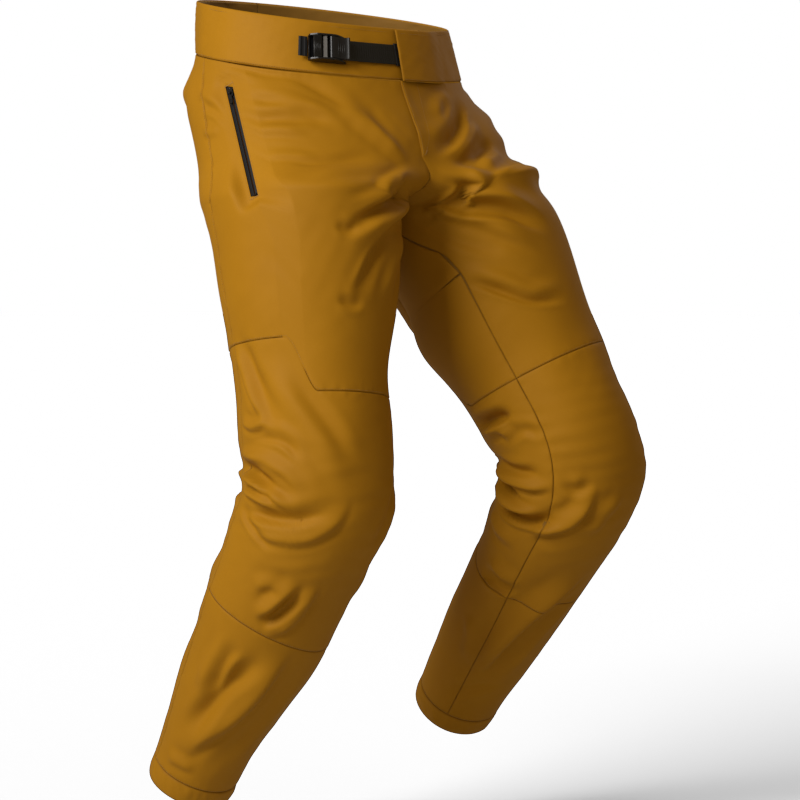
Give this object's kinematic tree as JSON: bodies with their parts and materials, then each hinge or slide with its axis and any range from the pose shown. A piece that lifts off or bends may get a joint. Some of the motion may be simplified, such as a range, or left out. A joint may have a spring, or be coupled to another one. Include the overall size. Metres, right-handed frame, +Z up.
{
  "type": "riding trousers",
  "caption": "Light tapered riding trousers with bent knees, zipped hip pockets, a fly and a waistband closed by a ratchet buckle and ladder strap.",
  "frame": {"origin": "middle of the waist opening, on its upper edge", "axes": "+Z up, the wearer faces -Y, the wearer's left is +X"},
  "size_m": [0.5004, 0.4502, 0.9736],
  "materials": {
    "shell_cloth": "smooth woven caramel cloth, slight sheen",
    "lining_cloth": "matt woven lining",
    "black_webbing": "matt black woven tape",
    "black_plastic": "satin moulded plastic",
    "black_metal": "black painted",
    "steel": "plain"
  },
  "bodies": {
    "trousers": {"right_back_panel": "shell_cloth", "right_thigh_gusset": "shell_cloth", "right_knee_panel_upper": "shell_cloth", "right_hamstring_panel": "shell_cloth", "right_knee_bend_front": "shell_cloth", "right_knee_bend_back": "shell_cloth", "left_back_panel": "shell_cloth", "left_thigh_gusset": "shell_cloth", "left_knee_panel_upper": "shell_cloth", "left_hamstring_panel": "shell_cloth", "left_knee_bend_front": "shell_cloth", "left_knee_bend_back": "shell_cloth", "right_waistband": "shell_cloth", "left_waistband": "shell_cloth", "right_waistband_lining": "lining_cloth", "left_waistband_lining": "lining_cloth", "right_front_panel": "shell_cloth", "right_pocket_zip_front_tape": "black_webbing", "right_pocket_zip_rear_tape": "black_webbing", "right_pocket_bag": "lining_cloth", "left_front_panel": "shell_cloth", "left_pocket_zip_rear_tape": "black_webbing", "left_pocket_zip_front_tape": "black_webbing", "left_pocket_bag": "lining_cloth", "fly_zip_left_tape": "black_webbing", "fly_zip_right_tape": "black_webbing", "fly_facing": "lining_cloth", "fly_shield": "lining_cloth", "buckle_base": "black_plastic", "lever_pin": "steel", "pawl_pin": "steel", "pawl_spring": "steel", "buckle_webbing": "black_webbing"},
    "right_shin": {"right_knee_panel_lower": "shell_cloth", "right_calf_panel_upper": "shell_cloth", "right_shin_panel": "shell_cloth", "right_calf_panel_lower": "shell_cloth", "right_hem_cuff": "shell_cloth"},
    "left_shin": {"left_knee_panel_lower": "shell_cloth", "left_calf_panel_upper": "shell_cloth", "left_shin_panel": "shell_cloth", "left_calf_panel_lower": "shell_cloth", "left_hem_cuff": "shell_cloth"},
    "right_pocket_zip_slider": {"right_pocket_zip_slider": "black_metal"},
    "right_pocket_zip_puller": {"right_pocket_zip_puller": "black_metal"},
    "left_pocket_zip_slider": {"left_pocket_zip_slider": "black_metal"},
    "left_pocket_zip_puller": {"left_pocket_zip_puller": "black_metal"},
    "fly_zip_slider": {"fly_zip_slider": "black_metal"},
    "fly_zip_puller": {"fly_zip_puller": "black_metal"},
    "strap": {"ladder_strap": "black_plastic", "strap_tab": "black_webbing"},
    "lever": {"ratchet_lever": "black_plastic"},
    "pawl": {"release_pawl": "black_plastic"}
  },
  "joints": [
    {"name": "right_knee", "type": "hinge", "parent": "trousers", "child": "right_shin", "pos_m": [-0.14158, -0.04056, -0.54552], "axis": [0.9958, 0, -0.0915], "range_deg": [-34, 44], "deforming": ["right_knee_bend_front", "right_knee_bend_back"]},
    {"name": "left_knee", "type": "hinge", "parent": "trousers", "child": "left_shin", "pos_m": [0.18997, -0.13257, -0.51504], "axis": [0.9848, 0, 0.1736], "range_deg": [-56, 22], "deforming": ["left_knee_bend_front", "left_knee_bend_back"]},
    {"name": "right_pocket_zip_travel", "type": "slide", "parent": "trousers", "child": "right_pocket_zip_slider", "axis": [-0.1991, -0.534, -0.8217], "range_m": [0, 0.13]},
    {"name": "right_pocket_zip_puller_swing", "type": "hinge", "parent": "right_pocket_zip_slider", "child": "right_pocket_zip_puller", "pos_m": [-0.18078, 0.05423, -0.08521], "axis": [-0.3342, 0.8252, -0.4554], "range_deg": [0, 120]},
    {"name": "left_pocket_zip_travel", "type": "slide", "parent": "trousers", "child": "left_pocket_zip_slider", "axis": [0.2214, -0.6451, -0.7313], "range_m": [0, 0.13]},
    {"name": "left_pocket_zip_puller_swing", "type": "hinge", "parent": "left_pocket_zip_slider", "child": "left_pocket_zip_puller", "pos_m": [0.1768, 0.0541, -0.08682], "axis": [-0.3737, -0.7488, 0.5474], "range_deg": [0, 120]},
    {"name": "fly_zip_travel", "type": "slide", "parent": "trousers", "child": "fly_zip_slider", "axis": [0, -0.3944, -0.9189], "range_m": [0, 0.067]},
    {"name": "fly_zip_puller_swing", "type": "hinge", "parent": "fly_zip_slider", "child": "fly_zip_puller", "pos_m": [0, -0.05203, -0.0848], "axis": [-1, 0, 0], "range_deg": [0, 3]},
    {"name": "strap_travel", "type": "hinge", "parent": "trousers", "child": "strap", "pos_m": [-0.00228, 0.2214, 0.01013], "axis": [0, -0.1784, 0.984], "range_deg": [-5, 1]},
    {"name": "lever_lift", "type": "hinge", "parent": "trousers", "child": "lever", "pos_m": [-0.09846, -0.033, -0.03368], "axis": [-0.1613, -0.2023, -0.966], "range_deg": [0, 55], "stiffness_Nm_per_rad": 0.02, "springref_deg": -8.59},
    {"name": "pawl_release", "type": "hinge", "parent": "trousers", "child": "pawl", "pos_m": [-0.11115, -0.02715, -0.03278], "axis": [-0.1613, -0.2023, -0.966], "range_deg": [0, 13], "stiffness_Nm_per_rad": 0.02, "springref_deg": -8.59, "deforming": ["pawl_spring"]}
  ]
}
